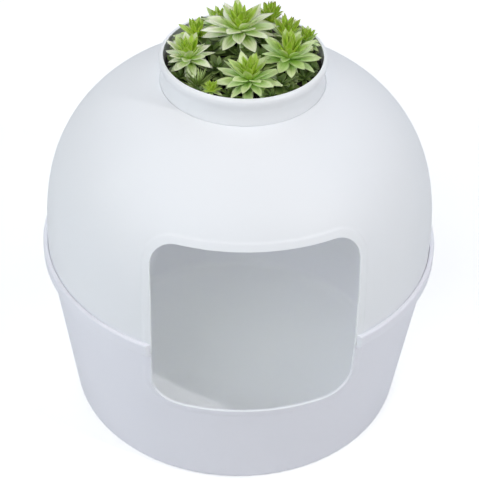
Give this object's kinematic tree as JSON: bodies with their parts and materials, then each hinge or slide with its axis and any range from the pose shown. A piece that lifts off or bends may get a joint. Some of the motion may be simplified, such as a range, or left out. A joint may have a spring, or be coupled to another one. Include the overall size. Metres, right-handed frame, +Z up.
{
  "type": "cat litter box with hood",
  "caption": "Round covered cat litter box shaped like a planter: a tub, a lift-off domed hood with a cat door, and a pot of succulents on top with a filter tray beneath.",
  "frame": {"origin": "middle of the tub's underside, on the floor", "axes": "+Z up through the dome and the pot, -Y out through the cat door, +X to the right seen from the front"},
  "size_m": [0.43, 0.4161, 0.4762],
  "materials": {
    "tub_plastic": "satin moulded white plastic, slightly translucent",
    "white_plastic": "satin moulded white plastic, slightly translucent",
    "grey_plastic": "fine matt moulded grey plastic",
    "pin_steel": "drawn steel pin",
    "carbon_felt": "matted black carbon felt",
    "floral_foam": "dry open-cell foam",
    "dark_soil": "crumbly dark soil",
    "succulent_leaf": "soft waxy leaves, pale edges and yellow-green hearts"
  },
  "bodies": {
    "base": {"tub": "tub_plastic"},
    "cover": {"hood": "white_plastic"},
    "planter": {"planter_pot": "white_plastic", "filter_tray_pin": "pin_steel"},
    "tray": {"filter_tray": "grey_plastic", "carbon_filter_pad": "carbon_felt"},
    "arrangement": {"foam_block": "floral_foam", "soil_layer": "dark_soil", "succulent_1": "succulent_leaf", "succulent_2": "succulent_leaf", "succulent_3": "succulent_leaf", "succulent_4": "succulent_leaf", "succulent_5": "succulent_leaf", "succulent_6": "succulent_leaf", "succulent_7": "succulent_leaf", "succulent_8": "succulent_leaf", "succulent_9": "succulent_leaf", "succulent_10": "succulent_leaf"}
  },
  "joints": [
    {"name": "hood_lift", "type": "slide", "parent": "base", "child": "cover", "axis": [0, 0, 1], "range_m": [0, 0.25]},
    {"name": "planter_lift", "type": "slide", "parent": "cover", "child": "planter", "axis": [0, 0, 1], "range_m": [0, 0.15]},
    {"name": "arrangement_lift", "type": "slide", "parent": "planter", "child": "arrangement", "axis": [0, 0, 1], "range_m": [0, 0.1]},
    {"name": "filter_tray_hinge", "type": "hinge", "parent": "planter", "child": "tray", "pos_m": [0, 0.058, 0.34835], "axis": [1, 0, 0], "range_deg": [0, 85]}
  ]
}
